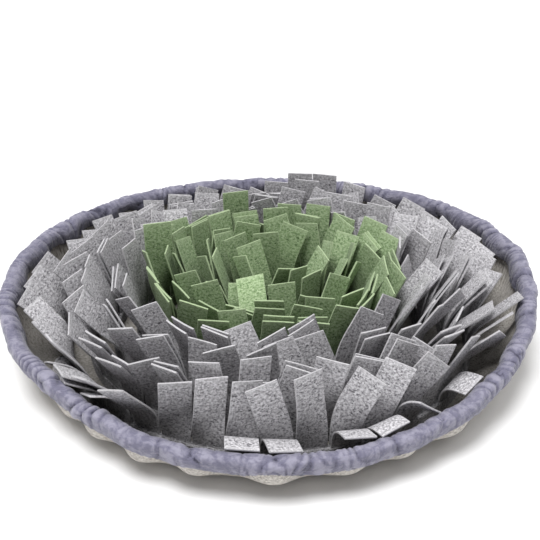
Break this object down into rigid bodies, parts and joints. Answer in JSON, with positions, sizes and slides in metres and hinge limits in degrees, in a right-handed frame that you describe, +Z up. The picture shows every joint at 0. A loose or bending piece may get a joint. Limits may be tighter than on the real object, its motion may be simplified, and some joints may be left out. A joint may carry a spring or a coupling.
{
  "type": "snuffle mat",
  "caption": "Round snuffle mat: a shallow felt dish with a gathered cloth rim, filled with rings of slit felt strips in grey and sage green.",
  "frame": {"origin": "on the floor, under the middle of the mat's outline", "axes": "+Z up, +Y towards the back of the mat, whose rim is the middle one in height, and +X towards its highest side"},
  "size_m": [0.4525, 0.4375, 0.0932],
  "materials": {
    "felt_base": "matte pale beige-grey felt",
    "casing_cloth": "smooth lavender-grey woven cloth, gathered",
    "felt_heather_grey": "matte heather grey felt with dark flecks",
    "felt_sage_green": "matte sage green felt"
  },
  "bodies": {
    "root": {"base": "felt_base", "rim_casing": "casing_cloth", "band_grey_1": "felt_heather_grey", "band_grey_2": "felt_heather_grey", "band_grey_3": "felt_heather_grey", "band_grey_4": "felt_heather_grey", "band_green_1": "felt_sage_green", "band_green_2": "felt_sage_green", "band_green_3": "felt_sage_green", "band_green_4": "felt_sage_green", "band_green_5": "felt_sage_green", "band_green_6": "felt_sage_green"}
  },
  "joints": []
}
